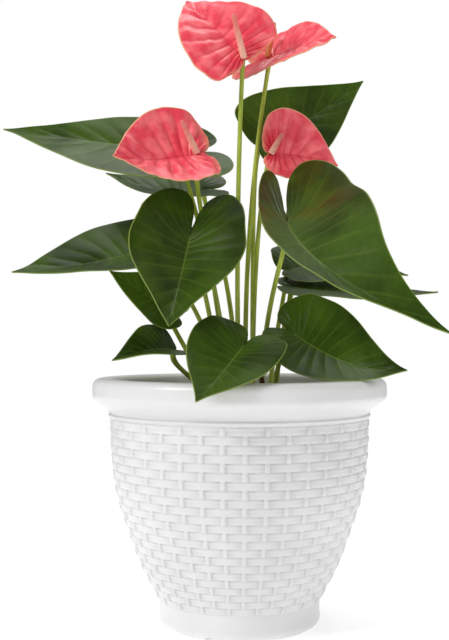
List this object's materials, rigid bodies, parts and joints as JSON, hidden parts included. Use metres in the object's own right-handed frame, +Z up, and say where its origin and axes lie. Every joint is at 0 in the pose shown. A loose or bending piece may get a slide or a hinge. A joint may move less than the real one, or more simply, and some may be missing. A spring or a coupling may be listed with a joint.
{
  "type": "potted anthurium",
  "caption": "Live potted anthurium with heart-shaped leaves and pink flowers in a white basket-pattern planter that stands on a flat foot.",
  "frame": {"origin": "middle of the planter's flat underside", "axes": "+Z up, -Y towards the front of the plant, +X to its right"},
  "size_m": [0.2483, 0.1938, 0.3492],
  "materials": {
    "planter_plastic": "satin moulded white plastic in a basket pattern",
    "potting_mix": "coarse dark peat and bark, matte",
    "leaf_green": "dark green leaf, waxy semi-gloss, paler beneath",
    "petiole_green": "smooth yellow-green stalk",
    "spathe_pink": "coral pink, waxy gloss, creased between its veins",
    "spadix_cream": "pale pink spike of tiny round flowers, matte",
    "dry_sheath": "dry brown leaf sheath, matte"
  },
  "bodies": {
    "root": {"dry_sheath_stub": "dry_sheath", "flower_left_peduncle": "petiole_green", "flower_left_spadix": "spadix_cream", "flower_left_spathe": "spathe_pink", "flower_right_peduncle": "petiole_green", "flower_right_spadix": "spadix_cream", "flower_right_spathe": "spathe_pink", "flower_top_peduncle": "petiole_green", "flower_top_right_peduncle": "petiole_green", "flower_top_right_spadix": "spadix_cream", "flower_top_right_spathe": "spathe_pink", "flower_top_spadix": "spadix_cream", "flower_top_spathe": "spathe_pink", "leaf_behind_left_blade": "leaf_green", "leaf_behind_left_petiole": "petiole_green", "leaf_behind_right_blade": "leaf_green", "leaf_behind_right_petiole": "petiole_green", "leaf_big_right_blade": "leaf_green", "leaf_big_right_petiole": "petiole_green", "leaf_front_left_blade": "leaf_green", "leaf_front_left_petiole": "petiole_green", "leaf_low_front_blade": "leaf_green", "leaf_low_front_petiole": "petiole_green", "leaf_low_left_blade": "leaf_green", "leaf_low_left_petiole": "petiole_green", "leaf_low_right_blade": "leaf_green", "leaf_low_right_petiole": "petiole_green", "leaf_mid_left_blade": "leaf_green", "leaf_mid_left_petiole": "petiole_green", "leaf_small_left_blade": "leaf_green", "leaf_small_left_petiole": "petiole_green", "leaf_under_right_blade": "leaf_green", "leaf_under_right_petiole": "petiole_green", "leaf_upper_left_blade": "leaf_green", "leaf_upper_left_petiole": "petiole_green", "leaf_upper_right_blade": "leaf_green", "leaf_upper_right_petiole": "petiole_green", "planter": "planter_plastic", "potting_mix": "potting_mix"}
  },
  "joints": []
}
